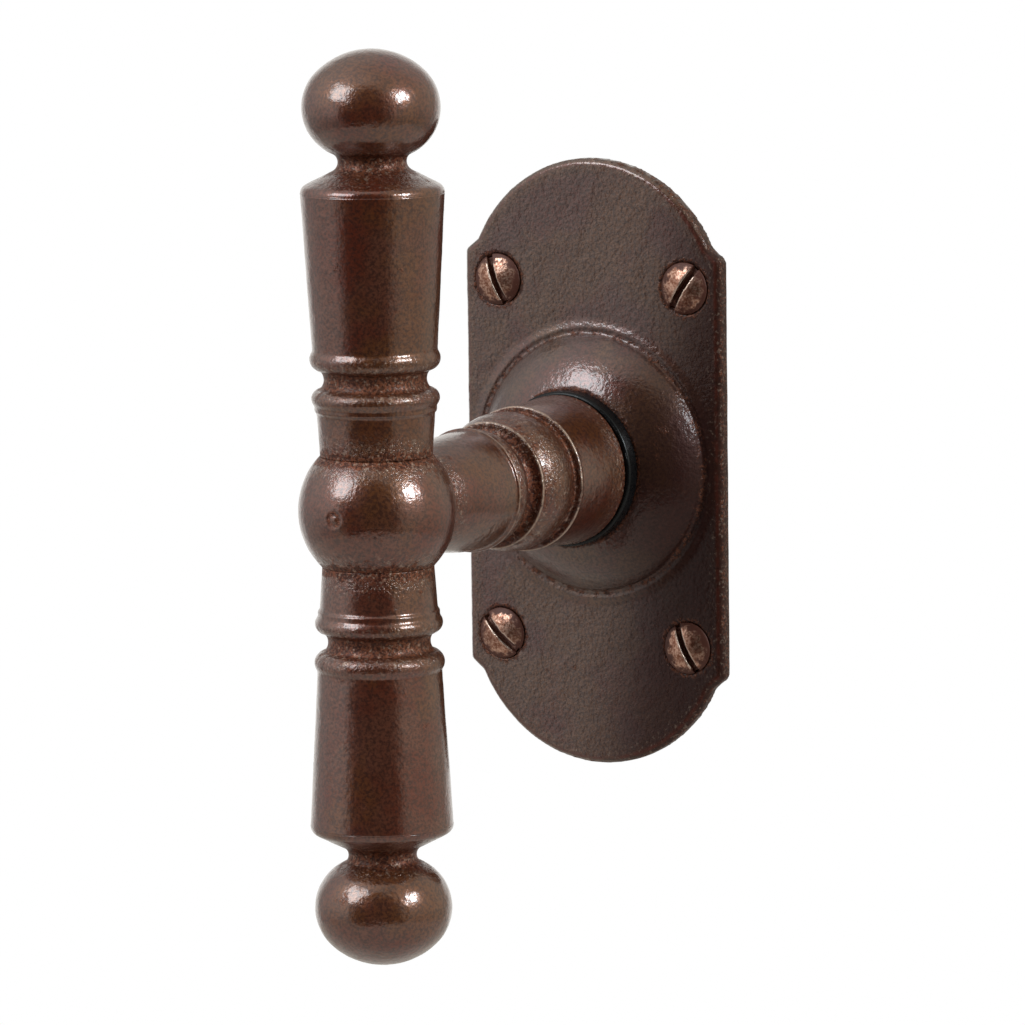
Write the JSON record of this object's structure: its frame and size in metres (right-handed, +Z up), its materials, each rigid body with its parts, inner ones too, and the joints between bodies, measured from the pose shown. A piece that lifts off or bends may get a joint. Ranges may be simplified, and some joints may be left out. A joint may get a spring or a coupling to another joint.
{
  "type": "window handle",
  "caption": "Window handle: a turned T-shaped bar on a turned neck, turning on a shaped back plate with a domed boss, with a square spindle behind.",
  "frame": {"origin": "where the spindle's axis crosses the back face of the plate, which lies on the window", "axes": "+Y along the spindle into the window, so the room is towards -Y; +Z up along the plate and, at rest, along the bar; +X to the right seen from the room"},
  "size_m": [0.045, 0.1047, 0.1324],
  "materials": {
    "plate_iron": "dark rust-brown patina, satin, fine cast grain",
    "bar_iron": "dark rust-brown patina, satin, worn on the edges",
    "screw_steel": "rust-browned, rubbed coppery on the heads",
    "washer_plastic": "black, smooth",
    "bush_brass": "turned",
    "housing_plastic": "moulded, natural colour",
    "inner_steel": "zinc plated, plain",
    "spring_steel": "hardened, dark",
    "spindle_steel": "drawn square bar, lightly oiled"
  },
  "bodies": {
    "plate": {"back_plate": "plate_iron", "plate_screws": "screw_steel", "bearing_bush": "bush_brass", "neck_washer": "washer_plastic", "cone_washer": "spring_steel", "detent_housing": "housing_plastic", "detent_spring_left": "spring_steel", "detent_spring_right": "spring_steel", "mechanism_cover": "inner_steel", "cover_screws": "inner_steel"},
    "handle": {"neck": "bar_iron", "ball_hub": "bar_iron", "upper_arm": "bar_iron", "lower_arm": "bar_iron", "upper_finial": "bar_iron", "lower_finial": "bar_iron", "tie_rod": "inner_steel", "spindle": "spindle_steel", "spindle_pin": "inner_steel", "detent_cam": "inner_steel", "retaining_ring": "spring_steel"}
  },
  "joints": [
    {"name": "handle_turn", "type": "hinge", "parent": "plate", "child": "handle", "pos_m": [0, 0, 0], "axis": [0, 1, 0], "range_deg": [-90, 90], "deforming": ["detent_spring_left", "detent_spring_right"]}
  ]
}
